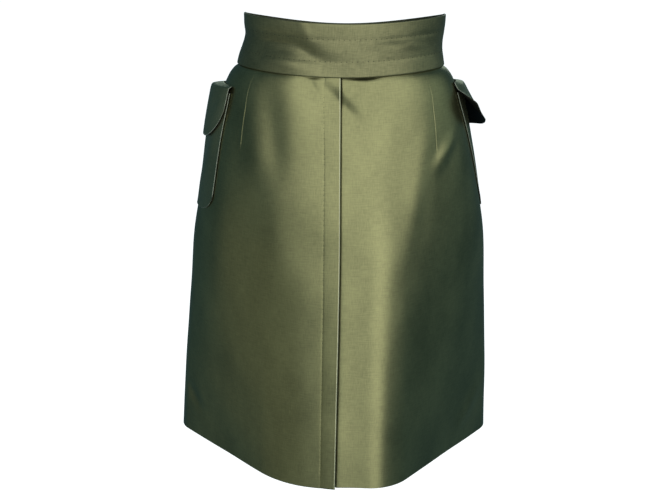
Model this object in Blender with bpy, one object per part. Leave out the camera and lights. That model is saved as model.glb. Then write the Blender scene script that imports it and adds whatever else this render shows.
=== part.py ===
"""Satin skirt: a high straight band over a stiff A-line skirt that stands off the body.

The skirt hangs hollow and filled out, in the shape of its cut. The origin is the centre of the
waist opening, level with the band's lower edge at the sides. +Z is up, the front faces -Y and the
wearer's left is +X. All sizes are in metres.

Every piece is a wall of cloth between an outer and an inner sheet of points. The sheets are lofts
between the oval waist and the eight-sided hem, whose corners are the soft flutes of stiff satin.
Around the skirt, a place is counted in quarters: 0 is the centre front, 1 the side on +X, 2 the
centre back and 3 the side on -X. Down the skirt it is the distance below the band's lower edge.
"""

import math
from collections import namedtuple

import bpy
import numpy as np

# ---------------------------------------------------------------- driving dimensions
SKIRT_LENGTH = 0.505  # from the band's lower edge to the hem, at the side
BAND_HEIGHT = 0.061
TUCK_UNDER_BAND = 0.008  # how far the skirt's top edge runs up inside the band

CLOTH = 0.0012  # satin with the interlining that lets it stand
BAND_CLOTH = 0.0024  # the band is satin folded double over a stiffener
TURNED_CLOTH = 0.0024  # the lap's edge is turned back and doubled
POCKET_CLOTH = 0.0012
FLAP_CLOTH = 0.0010
FACING_CLOTH = 0.0010
SEAM_GAP = 0.0003  # between two pieces where they are sewn together

DIP_CENTRE_FRONT = 0.006  # how far the waist dips below its sides
DIP_CENTRE_BACK = 0.0195
BACK_FALLS_EARLY = 0.69  # how much of the dip behind starts straight from the sides

LAP_TURNED = 0.0185  # width of the turned-back edge of the lap
LAP_EDGE_AT_HEM = 0.0022  # the lap runs this far past the centre at the hem, and to it at the top
UNDERLAP = 0.030  # width of the other front's edge that lies under the lap
UNDERLAP_RISE = 0.024  # width over which it comes up level again, beside the lap

# The outline of the skirt at each depth below the band: half its width, the depths of its front
# and of its back measured from the side line, how far that line lies behind the waist's and
# sideways of it, and how far the outline has gone from the waist's oval (0) to the hem's (1).
Section = namedtuple("Section", "below half_width front_depth back_depth side_back shift squared")
SKIRT_SECTIONS = (
    Section(-TUCK_UNDER_BAND, 0.1232, 0.0845, 0.0770, 0.000, 0.0000, 0.00),
    Section(0.000, 0.1253, 0.0858, 0.0780, 0.000, 0.0000, 0.00),
    Section(0.003, 0.1300, 0.0870, 0.0795, 0.000, 0.0000, 0.01),
    Section(0.008, 0.1348, 0.0886, 0.0815, 0.000, 0.0000, 0.02),
    Section(0.020, 0.1420, 0.0920, 0.0860, 0.000, 0.0000, 0.04),
    Section(0.050, 0.1520, 0.0995, 0.0950, 0.001, 0.0000, 0.07),
    Section(0.100, 0.1655, 0.1110, 0.1060, 0.003, 0.0000, 0.14),
    Section(0.150, 0.1768, 0.1230, 0.1110, 0.006, 0.0000, 0.22),
    Section(0.200, 0.1872, 0.1330, 0.1135, 0.009, 0.0000, 0.32),
    Section(0.300, 0.1968, 0.1515, 0.1150, 0.014, -0.0012, 0.55),
    Section(0.400, 0.2055, 0.1685, 0.1145, 0.019, -0.0030, 0.80),
    Section(0.505, 0.2124, 0.1850, 0.1130, 0.024, -0.0048, 1.00),
)

# The corners of the hem's outline, from the leaning centre line, and the radius of each.
Corner = namedtuple("Corner", "across back radius")
HEM_CORNERS = (
    Corner(0.073, -0.161, 0.063),
    Corner(0.212, 0.008, 0.035),
    Corner(0.212, 0.047, 0.040),
    Corner(0.068, 0.137, 0.075),
    Corner(-0.074, 0.137, 0.080),
    Corner(-0.212, 0.043, 0.038),
    Corner(-0.212, 0.003, 0.035),
    Corner(-0.058, -0.161, 0.120),
)
HEM_SIDE_BACK = 0.024
WAIST_HALF_WIDTH = 0.128
WAIST_FRONT_DEPTH = 0.088
WAIST_BACK_DEPTH = 0.080

# The outside of the band at each height: half its width, its depths, and how far it leans to +X.
BandRing = namedtuple("BandRing", "up half_width front_depth back_depth shift")
BAND_RINGS = (
    BandRing(0.000, 0.1286, 0.0890, 0.0812, 0.0000),
    BandRing(0.010, 0.1267, 0.0878, 0.0798, 0.0002),
    BandRing(0.020, 0.1248, 0.0868, 0.0786, 0.0006),
    BandRing(0.030, 0.1236, 0.0862, 0.0778, 0.0018),
    BandRing(0.040, 0.1231, 0.0858, 0.0774, 0.0036),
    BandRing(0.050, 0.1233, 0.0856, 0.0772, 0.0044),
    BandRing(0.061, 0.1235, 0.0854, 0.0770, 0.0046),
)

# The levels at which the skirt's walls have a ring of points.
LEVELS = (
    -TUCK_UNDER_BAND, 0.000, 0.004, 0.010, 0.020, 0.032, 0.045, 0.060, 0.082, 0.108,
    0.135, 0.160, 0.184, 0.220, 0.265, 0.310, 0.360, 0.410, 0.455, 0.485, 0.505,
)  # fmt: skip
POCKET_MOUTH = 0.032
POCKET_FOOT = 0.184

# Lines of points that run from waist to hem: where each lies, in quarters, at the waist, at the
# pockets' lower edge and at the hem, and the number of steps from it to the next line.
Line = namedtuple("Line", "name at_waist at_pocket_foot at_hem steps")
LINES = (
    Line("centre front", 0.000, 0.000, 0.000, 12),
    Line("left front dart", 0.615, 0.555, 0.600, 5),
    Line("left pocket front", 0.862, 0.985, 0.920, 3),
    Line("left side", 1.000, 1.000, 1.000, 7),
    Line("left pocket back", 1.440, 1.485, 1.400, 8),
    Line("centre back", 2.000, 2.000, 2.000, 10),
    Line("right pocket back", 2.700, 2.700, 2.700, 5),
    Line("right side", 3.000, 3.000, 3.000, 4),
    Line("right pocket front", 3.226, 3.248, 3.180, 3),
    Line("right front dart", 3.380, 3.425, 3.400, 12),
    Line("centre front again", 4.000, 4.000, 4.000, 0),
)

# Soft folds, and the darts as narrow troughs: where each starts and ends around and down, its
# width, and how far it stands out (or in, where that is less than nothing).
Fold = namedtuple("Fold", "around_at_start around_at_end starts ends width height")
FOLDS = (
    Fold(0.615, 0.575, -0.020, 0.100, 0.005, -0.0010),
    Fold(3.380, 3.415, -0.020, 0.100, 0.005, -0.0010),
    Fold(1.500, 1.520, -0.020, 0.130, 0.005, -0.0010),
    Fold(2.500, 2.480, -0.020, 0.130, 0.005, -0.0010),
    Fold(0.500, 0.420, 0.090, 0.220, 0.022, -0.0022),
    Fold(0.700, 0.640, 0.080, 0.200, 0.024, 0.0020),
    Fold(3.330, 3.260, 0.330, 0.500, 0.030, -0.0022),
    Fold(0.780, 0.560, 0.390, 0.505, 0.028, 0.0022),
    Fold(1.750, 1.620, 0.120, 0.420, 0.034, -0.0026),
    Fold(2.330, 2.420, 0.180, 0.500, 0.036, 0.0024),
    Fold(3.800, 4.100, -0.010, 0.050, 0.012, -0.0012),
)

# About how long one quarter of the outline is, for the width of the folds.
FOLD_DEPTHS = (0.0, 0.1, SKIRT_LENGTH)
FOLD_QUARTERS = (0.167, 0.217, 0.300)

BAND_ROWS = 6
# The soft crease that runs into the band from its right side: its height along its run, which
# starts this far around and is this long, its depth, and the swelling under it.
CREASE_STARTS = -1.15
CREASE_RUNS = 1.0
CREASE_ALONG = (0.0, 0.75, 1.0)
CREASE_HEIGHTS = (0.041, 0.040, 0.026)
CREASE_DEPTH = 0.0022
CREASE_WIDTH = 0.006
CREASE_FADES = 0.7
SWELLING_HEIGHT = 0.0013
SWELLING_WIDTH = 0.008
SWELLING_BELOW = 0.014

LAP_COLUMNS_REPLACED = 3
LAP_STEP = 0.003  # the turned-back edge comes to its full thickness over this width

POCKET_WIDTH = 0.118
POCKET_CORNER = 0.022
POCKET_STANDS_OFF = {"right": 0.0115, "left": 0.0120}  # of its mouth, in the middle
POCKET_CLOSES_EARLY = 1.35  # how soon its stand-off dies away toward its foot
POCKET_SEAM_GAP = 0.0005

FLAP_ROOT = {"right": 0.0235, "left": 0.0190}  # the flaps are sewn on above the mouths
FLAP_HANGS = 0.0635
FLAP_CORNER = 0.036
FLAP_CORNER_STRETCH = 1.25
FLAP_CLEARS = 0.0019  # between a flap's facing and the pocket under it
SHELF_DROPS = 0.0020
SPRUNG_SHELF_DROPS = 0.0010  # the left flap has sprung outward
SPRUNG_SHELF_MORE = 0.0018
SPRUNG_LEAN = 32.0  # degrees from upright
FLAP_STAGES = (0.0, 0.5, 0.8, 1.0, 1.06, 1.2, 1.4, 1.6, 1.8, 1.92, 2.0)
FACING_INSET = 0.15  # of a step between points

SATIN = "#6B6E4E"
BAND_SATIN = "#70734F"
DARK_LINING = "#0B0C0B"
SATIN_ROUGHNESS = 0.42
SATIN_METALLIC = 0.2
LINING_ROUGHNESS = 0.6
SHARP_ANGLE = 40.0

OVAL_STEPS = 2000
CORNER_STEPS = 24
OUTLINE_STEPS = 8000
STEPS_IN_QUARTER = 400  # how finely an outline is walked
STEPS_ACROSS_QUARTER = 60  # for its length
NUDGE_AROUND = 0.004
NUDGE_DOWN = 0.0008


# ---------------------------------------------------------------- outlines
def read_table(rows, column, places, key):
    """Read one column of a table at any places between its rows, on a smooth curve."""
    at = np.array([getattr(row, key) for row in rows])
    values = np.array([getattr(row, column) for row in rows])
    slopes = np.gradient(values, at)
    row = np.clip(np.searchsorted(at, places) - 1, 0, len(at) - 2)
    span = at[row + 1] - at[row]
    part = np.clip((places - at[row]) / span, 0.0, 1.0)
    rise = part * part * (3.0 - 2.0 * part)
    leave = part * (1.0 - part) ** 2
    arrive = part * part * (part - 1.0)
    return (
        values[row] * (1.0 - rise)
        + values[row + 1] * rise
        + span * (slopes[row] * leave + slopes[row + 1] * arrive)
    )


def rounded_outline(corners):
    """The points of a closed outline whose corners are arcs."""
    points = []
    places = [np.array((corner.across, corner.back)) for corner in corners]
    for index, corner in enumerate(corners):
        here = places[index]
        arriving = here - places[index - 1]
        leaving = places[(index + 1) % len(corners)] - here
        arriving /= np.linalg.norm(arriving)
        leaving /= np.linalg.norm(leaving)
        crossing = arriving[0] * leaving[1] - arriving[1] * leaving[0]
        turn = math.atan2(crossing, float(arriving @ leaving))
        tangent = corner.radius * math.tan(turn / 2.0)
        start = here - arriving * tangent
        centre = start + corner.radius * np.array((-arriving[1], arriving[0]))
        spoke = start - centre
        for angle in np.linspace(0.0, turn, CORNER_STEPS + 1):
            across = math.cos(angle) * spoke[0] - math.sin(angle) * spoke[1]
            back = math.sin(angle) * spoke[0] + math.cos(angle) * spoke[1]
            points.append(centre + np.array((across, back)))
    return np.array(points)


def oval_outline(half_width, front_depth, back_depth):
    """The points of an oval that is deeper in front than behind."""
    angle = np.linspace(0.0, 2.0 * math.pi, OVAL_STEPS, endpoint=False)
    depth = np.where(np.cos(angle) > 0.0, front_depth, back_depth)
    return np.stack((half_width * np.sin(angle), -depth * np.cos(angle)), axis=1)


def in_quarters(outline, side_back):
    """Walk a closed outline in even steps of each quarter, from the centre front to +X.

    The result is given as parts of the half width and of the depths, from the side line.
    """
    closed = np.vstack((outline, outline[:1]))
    lengths = np.linalg.norm(np.diff(closed, axis=0), axis=1)
    run = np.concatenate(([0.0], np.cumsum(lengths)))
    even = np.linspace(0.0, run[-1], OUTLINE_STEPS + 1)[:-1]
    fine = np.stack([np.interp(even, run, closed[:, axis]) for axis in (0, 1)], axis=1)
    half_width = fine[:, 0].max()
    front = fine[:, 1].min()
    back = fine[:, 1].max()
    stations = ((0.0, front), (half_width, side_back), (0.0, back), (-half_width, side_back))
    picks = [int(np.argmin(np.linalg.norm(fine - np.array(place), axis=1))) for place in stations]
    walked = []
    for start, end in zip(picks, picks[1:] + picks[:1]):
        count = (end - start) % len(fine)
        part = np.take(fine, np.arange(start, start + count + 1), axis=0, mode="wrap")
        steps = np.linspace(0.0, count, STEPS_IN_QUARTER + 1)[:-1]
        at = np.arange(count + 1)
        walked.append(np.stack([np.interp(steps, at, part[:, axis]) for axis in (0, 1)], axis=1))
    walked = np.vstack(walked)
    walked[:, 0] /= half_width
    from_side = walked[:, 1] - side_back
    depth = np.where(from_side < 0.0, side_back - front, back - side_back)
    walked[:, 1] = from_side / depth
    return walked


WAIST_OVAL = oval_outline(WAIST_HALF_WIDTH, WAIST_FRONT_DEPTH, WAIST_BACK_DEPTH)
WAIST_OUTLINE = in_quarters(WAIST_OVAL, 0.0)
HEM_OUTLINE = in_quarters(rounded_outline(HEM_CORNERS), HEM_SIDE_BACK)


def walk(outline, around):
    """The place on an outline, as parts of its half width and of its depth."""
    at = np.linspace(0.0, 4.0, 4 * STEPS_IN_QUARTER + 1)
    closed = np.vstack((outline, outline[:1]))
    turned = np.mod(around, 4.0)
    return np.interp(turned, at, closed[:, 0]), np.interp(turned, at, closed[:, 1])


def waist_dip(around):
    """How far the waist lies below its sides: least at the sides, most at the centre back."""
    toward_front = np.cos(np.asarray(around) * math.pi / 2.0)
    behind = np.maximum(-toward_front, 0.0)
    back_dip = BACK_FALLS_EARLY * behind + (1.0 - BACK_FALLS_EARLY) * behind**2
    return DIP_CENTRE_FRONT * np.maximum(toward_front, 0.0) ** 2 + DIP_CENTRE_BACK * back_dip


def skirt_surface(around, below):
    """The smooth outside of the skirt."""
    around, below = np.broadcast_arrays(np.asarray(around, float), np.asarray(below, float))
    waist_x, waist_y = walk(WAIST_OUTLINE, around)
    hem_x, hem_y = walk(HEM_OUTLINE, around)
    squared = read_table(SKIRT_SECTIONS, "squared", below, "below")
    part_x = waist_x + (hem_x - waist_x) * squared
    part_y = waist_y + (hem_y - waist_y) * squared
    front = read_table(SKIRT_SECTIONS, "front_depth", below, "below")
    back = read_table(SKIRT_SECTIONS, "back_depth", below, "below")
    x = part_x * read_table(SKIRT_SECTIONS, "half_width", below, "below")
    x = x + read_table(SKIRT_SECTIONS, "shift", below, "below")
    y = np.where(part_y < 0.0, part_y * front, part_y * back)
    y = y + read_table(SKIRT_SECTIONS, "side_back", below, "below")
    z = -below - waist_dip(around) * (1.0 - below / SKIRT_LENGTH)
    return np.stack((x, y, z), axis=-1)


def band_surface(around, up):
    """The smooth outside of the band."""
    around, up = np.broadcast_arrays(np.asarray(around, float), np.asarray(up, float))
    part_x, part_y = walk(WAIST_OUTLINE, around)
    front = read_table(BAND_RINGS, "front_depth", up, "up")
    back = read_table(BAND_RINGS, "back_depth", up, "up")
    x = part_x * read_table(BAND_RINGS, "half_width", up, "up")
    x = x + read_table(BAND_RINGS, "shift", up, "up")
    y = np.where(part_y < 0.0, part_y * front, part_y * back)
    return np.stack((x, y, up - waist_dip(around)), axis=-1)


def outward(surface, around, along, down_sign):
    """The direction straight out of a surface."""
    across = surface(around + NUDGE_AROUND, along) - surface(around - NUDGE_AROUND, along)
    down = surface(around, along + NUDGE_DOWN) - surface(around, along - NUDGE_DOWN)
    normal = np.cross(down * down_sign, across)
    return normal / np.linalg.norm(normal, axis=-1, keepdims=True)


# ---------------------------------------------------------------- the grid that all pieces share
def line_place(line, below):
    """Where a line lies at a depth, in quarters."""
    depths = (0.0, POCKET_FOOT, SKIRT_LENGTH)
    return np.interp(below, depths, (line.at_waist, line.at_pocket_foot, line.at_hem))


def columns_between(start_name, end_name, below):
    """The places of the columns from one named line to another, at each depth given."""
    names = [line.name for line in LINES]
    first = names.index(start_name)
    last = names.index(end_name)
    columns = [line_place(LINES[first], below)]
    for line, following in zip(LINES[first:last], LINES[first + 1 : last + 1]):
        start = line_place(line, below)
        end = line_place(following, below)
        for step in range(1, line.steps + 1):
            columns.append(start + (end - start) * step / line.steps)
    return np.stack(columns, axis=-1)


def quarter_length(below):
    """The length of one front quarter of the outline at each depth."""
    around = np.linspace(0.0, 1.0, STEPS_ACROSS_QUARTER)
    lengths = []
    for depth in np.atleast_1d(below):
        ring = skirt_surface(around, depth)
        lengths.append(np.linalg.norm(np.diff(ring, axis=0), axis=1).sum())
    return np.array(lengths)


def fold_height(around, below):
    """How far the folds and darts push the cloth out, or draw it in."""
    height = np.zeros(np.broadcast(around, below).shape)
    for fold in FOLDS:
        part = np.clip((below - fold.starts) / (fold.ends - fold.starts), 0.0, 1.0)
        middle = fold.around_at_start + (fold.around_at_end - fold.around_at_start) * part
        apart = np.mod(around - middle + 2.0, 4.0) - 2.0
        across = np.exp(-((apart * fold_scale(below) / fold.width) ** 2))
        height = height + fold.height * across * np.sin(math.pi * part) ** 2
    return height


def fold_scale(below):
    """About how many metres one quarter measures at a depth."""
    return np.interp(below, FOLD_DEPTHS, FOLD_QUARTERS)


def skirt_sheet(around, below, out):
    """Points of a sheet that lies a little out of the skirt's surface, or inside it."""
    around, below = np.broadcast_arrays(around, below)
    normal = outward(skirt_surface, around, below, 1.0)
    height = fold_height(around, below) + out
    return skirt_surface(around, below) + normal * height[..., np.newaxis]


def sheet_normals(sheet):
    """The direction out of a sheet of points at each of them."""
    across = np.gradient(sheet, axis=1)
    down = np.gradient(sheet, axis=0)
    normal = np.cross(down, across)
    return normal / np.linalg.norm(normal, axis=-1, keepdims=True)


# ---------------------------------------------------------------- making a piece
def colour_of(hex_colour):
    """Turn an sRGB hex colour into Blender's linear one."""
    channels = [int(hex_colour[place : place + 2], 16) / 255.0 for place in (1, 3, 5)]
    linear = [c / 12.92 if c <= 0.04045 else ((c + 0.055) / 1.055) ** 2.4 for c in channels]
    return (*linear, 1.0)


def cloth_material(name, hex_colour, roughness, metallic):
    """A plain material of the piece's own."""
    material = bpy.data.materials.new(name)
    material.use_nodes = True
    shader = material.node_tree.nodes["Principled BSDF"]
    shader.inputs["Base Color"].default_value = colour_of(hex_colour)
    shader.inputs["Roughness"].default_value = roughness
    shader.inputs["Metallic"].default_value = metallic
    material.diffuse_color = colour_of(hex_colour)
    return material


def cloth_wall(name, outer, inner, hex_colour, roughness=SATIN_ROUGHNESS, metallic=SATIN_METALLIC):
    """A closed wall of cloth between an outer and an inner sheet with as many points."""
    rows, columns = outer.shape[:2]
    count = rows * columns
    place = np.arange(count).reshape(rows, columns)
    faces = []
    for row in range(rows - 1):
        for column in range(columns - 1):
            a = int(place[row, column])
            b = int(place[row + 1, column])
            c = int(place[row + 1, column + 1])
            d = int(place[row, column + 1])
            faces.append((a, b, c, d))
            faces.append((a + count, d + count, c + count, b + count))
    border = [int(n) for n in place[:-1, 0]]
    border += [int(n) for n in place[-1, :-1]]
    border += [int(n) for n in place[:0:-1, -1]]
    border += [int(n) for n in place[0, :0:-1]]
    for here, following in zip(border, border[1:] + border[:1]):
        faces.append((following, here, here + count, following + count))
    mesh = bpy.data.meshes.new(name)
    points = np.vstack((outer.reshape(-1, 3), inner.reshape(-1, 3)))
    mesh.from_pydata(points.tolist(), [], faces)
    mesh.shade_smooth()
    mesh.set_sharp_from_angle(angle=math.radians(SHARP_ANGLE))
    mesh.materials.append(cloth_material(name + "_cloth", hex_colour, roughness, metallic))
    piece = bpy.data.objects.new(name, mesh)
    collection.objects.link(piece)
    return piece


# ---------------------------------------------------------------- the skirt's three panels
levels = np.array(LEVELS)
quarter_at = quarter_length(levels)
half_gap = SEAM_GAP / 2.0 / quarter_at
lap_edge = LAP_EDGE_AT_HEM * levels / SKIRT_LENGTH


def panel(name, around, out, thickness):
    """One panel of the skirt: columns of places around, at the skirt's levels."""
    below = levels[:, np.newaxis]
    outer = skirt_sheet(around, below, out)
    inner = skirt_sheet(around, below, out - thickness)
    return cloth_wall(name, outer, inner, SATIN)


def back_panel():
    """The back, in one piece, from side seam to side seam."""
    around = columns_between("left side", "right side", levels)
    around[:, 0] += half_gap
    around[:, -1] -= half_gap
    flat = np.zeros(around.shape)
    panel("back_panel", around, flat, flat + CLOTH)


def front_right_panel():
    """The wearer's right front, which laps over the left: its free edge is turned back."""
    plain = columns_between("right side", "centre front again", levels)
    plain = plain[:, : -LAP_COLUMNS_REPLACED]
    plain[:, 0] += half_gap
    to_turning = (-(LAP_TURNED + LAP_STEP), -LAP_TURNED, -LAP_TURNED / 2.0, 0.0)
    edge = [4.0 + (lap_edge + distance) / quarter_at for distance in to_turning]
    around = np.hstack((plain, np.stack(edge, axis=1)))
    thickness = np.full(around.shape, CLOTH)
    thickness[:, -3:] = TURNED_CLOTH
    panel("front_right_panel", around, np.zeros(around.shape), thickness)


def front_left_panel():
    """The wearer's left front, whose edge lies under the lap and comes up level beside it."""
    plain = columns_between("centre front", "left side", levels)[:, 1:]
    plain[:, -1] -= half_gap
    under = [(lap_edge + distance) / quarter_at for distance in (-UNDERLAP, -UNDERLAP / 2.0, 0.0)]
    around = np.hstack((np.stack(under, axis=1), plain))
    from_edge = around * quarter_at[:, np.newaxis] - lap_edge[:, np.newaxis]
    rise = np.clip(from_edge / UNDERLAP_RISE, 0.0, 1.0)
    rise = rise * rise * (3.0 - 2.0 * rise)
    out = -(TURNED_CLOTH + SEAM_GAP) * (1.0 - rise)
    panel("front_left_panel", around, out, np.full(around.shape, CLOTH))


# ---------------------------------------------------------------- the waistband
def band_columns(parts):
    """The places around of a length of the band, from one side seam to the other."""
    places = [columns_between(start, end, np.zeros(1))[0] for start, end in parts]
    if len(places) > 1:
        places[0] = places[0] - 4.0
        places[1] = places[1][1:]
    around = np.concatenate(places)
    around[0] += half_gap[1]
    around[-1] -= half_gap[1]
    return around


def waistband(name, around):
    """A length of the band, at the band's own levels."""
    ups = np.linspace(BAND_HEIGHT, 0.0, BAND_ROWS + 1)[:, np.newaxis]
    around, up = np.broadcast_arrays(around[np.newaxis, :], ups)
    outer = band_surface(around, up)
    normal = outward(band_surface, around, up, -1.0)
    crease = band_crease(around, up)
    outer = outer + normal * crease[..., np.newaxis]
    cloth_wall(name, outer, outer - normal * BAND_CLOTH, BAND_SATIN)


def band_crease(around, up):
    """The soft crease that runs into the band from its right side, and the swelling under it."""
    signed = np.mod(around + 2.0, 4.0) - 2.0
    run = np.clip((signed - CREASE_STARTS) / CREASE_RUNS, 0.0, 1.0)
    from_crease = up - np.interp(run, CREASE_ALONG, CREASE_HEIGHTS)
    trough = -CREASE_DEPTH * np.exp(-((from_crease / CREASE_WIDTH) ** 2))
    from_swelling = from_crease + SWELLING_BELOW
    swelling = SWELLING_HEIGHT * np.exp(-((from_swelling / SWELLING_WIDTH) ** 2))
    return (trough + swelling) * np.sin(math.pi * run) ** CREASE_FADES


# ---------------------------------------------------------------- pockets and flaps
def pocket_columns(side, below):
    """The places around of a pocket's columns at any depth."""
    if side == "left":
        return columns_between("left pocket front", "left pocket back", below)
    return columns_between("right pocket back", "right pocket front", below)


def parts_from_front(side):
    """A pocket's columns as parts of its width from its front edge."""
    columns = pocket_columns(side, np.array((POCKET_MOUTH, POCKET_FOOT)))
    across = (columns - columns[:, :1]) / (columns[:, -1:] - columns[:, :1])
    from_front = across if side == "left" else 1.0 - across
    return from_front.mean(axis=0)


def bellows(side, from_front, below):
    """How far a pocket's outside stands off the skirt, level with the ground."""
    down = np.clip((below - POCKET_MOUTH) / (POCKET_FOOT - POCKET_MOUTH), 0.0, 1.0)
    over_width = 1.0 - (2.0 * from_front - 1.0) ** 2
    return POCKET_STANDS_OFF[side] * (1.0 - down) ** POCKET_CLOSES_EARLY * over_width


def on_skirt(around, below):
    """Points on the faceted wall of the panels, the level way out, and how steep the wall is."""
    lower_ring = np.clip(np.searchsorted(levels, below, side="right"), 1, len(levels) - 1)
    upper = levels[lower_ring - 1]
    lower = levels[lower_ring]
    part = ((below - upper) / (lower - upper))[..., np.newaxis]
    flat = np.zeros(np.shape(around))
    point = skirt_sheet(around, upper, flat) * (1.0 - part)
    point = point + skirt_sheet(around, lower, flat) * part
    normal = outward(skirt_surface, around, below, 1.0)
    level = normal * np.array((1.0, 1.0, 0.0))
    steep = np.linalg.norm(level, axis=-1, keepdims=True)
    return point, level / steep, steep[..., 0]


def rounded_foot(from_front, width, radius):
    """How much shorter a piece is at each column, for its rounded lower corners."""
    nearest = np.minimum(from_front, 1.0 - from_front) * width
    inside = np.clip(1.0 - nearest / radius, 0.0, 1.0)
    return radius * (1.0 - np.sqrt(1.0 - inside**2))


def pocket(side):
    """A patch pocket that lies flat at its foot and stands open at its mouth."""
    from_front = parts_from_front(side)
    foot = POCKET_FOOT - rounded_foot(from_front, POCKET_WIDTH, POCKET_CORNER)
    rows = np.array([level for level in LEVELS if POCKET_MOUTH <= level <= POCKET_FOOT])
    parts = (rows - POCKET_MOUTH) / (POCKET_FOOT - POCKET_MOUTH)
    below = POCKET_MOUTH + (foot - POCKET_MOUTH)[np.newaxis, :] * parts[:, np.newaxis]
    columns = [pocket_columns(side, below[:, c])[:, c] for c in range(len(from_front))]
    around = np.stack(columns, axis=1)
    point, level, steep = on_skirt(around, below)
    stand = (POCKET_CLOTH + POCKET_SEAM_GAP) / steep + bellows(side, from_front[np.newaxis, :], below)
    outer = point + level * stand[..., np.newaxis]
    inner = outer - sheet_normals(outer) * POCKET_CLOTH
    cloth_wall("pocket_" + side, outer, inner, SATIN)


def flap_sheet(side):
    """The outside of a flap: a narrow shelf out over the pocket's mouth, then the part that hangs."""
    from_front = parts_from_front(side)
    layers = FLAP_CLOTH + SEAM_GAP + FACING_CLOTH
    over_pocket = POCKET_CLOTH + layers + FLAP_CLEARS
    lean = math.radians(SPRUNG_LEAN)
    cut = rounded_foot(from_front, POCKET_WIDTH, FLAP_CORNER) * FLAP_CORNER_STRETCH
    kept = 1.0 - cut / FLAP_HANGS
    shelf = bellows(side, from_front, POCKET_MOUTH) + over_pocket
    at_lower_edge = bellows(side, from_front, FLAP_ROOT[side] + FLAP_HANGS) + over_pocket
    if side == "left":
        shelf = shelf + SPRUNG_SHELF_MORE
    rows = []
    for stage in FLAP_STAGES:
        over = min(stage, 1.0)
        part = max(stage - 1.0, 0.0) * kept
        if side == "right":
            below = FLAP_ROOT[side] + SHELF_DROPS * over + FLAP_HANGS * part
            out = shelf + (at_lower_edge - shelf) * part
            down = np.zeros(len(from_front))
        else:
            below = np.full(len(from_front), FLAP_ROOT[side])
            out = shelf + FLAP_HANGS * math.sin(lean) * part
            down = SPRUNG_SHELF_DROPS * over + FLAP_HANGS * math.cos(lean) * part
        columns = [pocket_columns(side, below[c : c + 1])[0, c] for c in range(len(below))]
        around = np.array(columns)
        point, level, steep = on_skirt(around, below)
        fall = np.arctan2(SHELF_DROPS if side == "right" else SPRUNG_SHELF_DROPS, shelf)
        body_slope = np.sqrt(1.0 - steep**2) / steep
        start = POCKET_SEAM_GAP / steep + layers * (np.sin(fall) + body_slope * np.cos(fall))
        out = start + (out - start) * over
        step = level * out[:, np.newaxis]
        step[:, 2] -= down
        rows.append(point + step)
    return soften_bend(np.stack(rows))


def soften_bend(sheet):
    """Round the bend between a flap's shelf and its hanging part."""
    soft = sheet.copy()
    soft[1:-1] = 0.25 * sheet[:-2] + 0.5 * sheet[1:-1] + 0.25 * sheet[2:]
    return soft


def flap(side):
    """A flap and the facing that lines it."""
    outer = flap_sheet(side)
    normal = sheet_normals(outer)
    cloth_wall("pocket_" + side + "_flap", outer, outer - normal * FLAP_CLOTH, SATIN)
    shrunk = inset(outer)
    normal = sheet_normals(shrunk)
    facing = shrunk - normal * (FLAP_CLOTH + SEAM_GAP)
    name = "pocket_" + side + "_flap_facing"
    backed = facing - normal * FACING_CLOTH
    cloth_wall(name, facing, backed, DARK_LINING, LINING_ROUGHNESS, 0.0)


def inset(sheet):
    """The same sheet, drawn in a little from its edges."""
    drawn = sheet.copy()
    drawn[:, 0] += (sheet[:, 1] - sheet[:, 0]) * FACING_INSET
    drawn[:, -1] += (sheet[:, -2] - sheet[:, -1]) * FACING_INSET
    drawn[-1] += (drawn[-2] - drawn[-1]) * FACING_INSET
    return drawn


# ---------------------------------------------------------------- build
for old in list(bpy.data.objects):
    bpy.data.objects.remove(old)
collection = bpy.data.collections.new("satin_skirt")
bpy.context.scene.collection.children.link(collection)

back_panel()
front_left_panel()
front_right_panel()
front_halves = (("right side", "centre front again"), ("centre front", "left side"))
waistband("waistband_front", band_columns(front_halves))
waistband("waistband_back", band_columns((("left side", "right side"),)))
for wearers_side in ("left", "right"):
    pocket(wearers_side)
    flap(wearers_side)
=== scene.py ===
import math
from collections import namedtuple

import bpy
import numpy as np
from mathutils import Matrix


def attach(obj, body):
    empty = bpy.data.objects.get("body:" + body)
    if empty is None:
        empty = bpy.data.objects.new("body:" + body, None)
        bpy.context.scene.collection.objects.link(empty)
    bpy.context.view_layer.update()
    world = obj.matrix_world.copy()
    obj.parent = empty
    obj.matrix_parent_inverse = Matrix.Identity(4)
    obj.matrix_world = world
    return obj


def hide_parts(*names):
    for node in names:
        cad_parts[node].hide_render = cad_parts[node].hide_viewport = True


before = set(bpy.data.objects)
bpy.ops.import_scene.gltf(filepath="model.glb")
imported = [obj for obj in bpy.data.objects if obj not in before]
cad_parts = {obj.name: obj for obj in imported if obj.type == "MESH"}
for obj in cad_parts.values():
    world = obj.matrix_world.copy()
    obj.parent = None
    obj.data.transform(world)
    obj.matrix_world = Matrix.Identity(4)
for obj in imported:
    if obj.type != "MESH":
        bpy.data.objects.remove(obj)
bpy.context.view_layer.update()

# ------------------------ right front
# The right front, as worn, of an A-line skirt, cut from heavy olive duchesse satin that stands by itself.
# One dart shapes it at the waist. It laps over the left front, where its edge is turned back 18.5 mm and
# pricked down with olive thread.

# Places on the skirt run around in quarters, from 0 at the centre front to 1 at the side on +X, and down
# in metres from the waistband's lower edge. Every size is in metres.
SKIRT_LENGTH = 0.505
HIDDEN_TOP = -0.008  # its top edge runs up inside the band
CLOTH = 0.0012
TURNED_CLOTH = 0.0024
SEAM_GAP = 0.0003
SEWN_SHUT = 0.00002  # the seams' two edges meet
LAP_TURNED = 0.0185
LAP_EDGE_AT_HEM = 0.0022
DIP_CENTRE_FRONT = 0.006
DIP_CENTRE_BACK = 0.0195
BACK_FALLS_EARLY = 0.69

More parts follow.
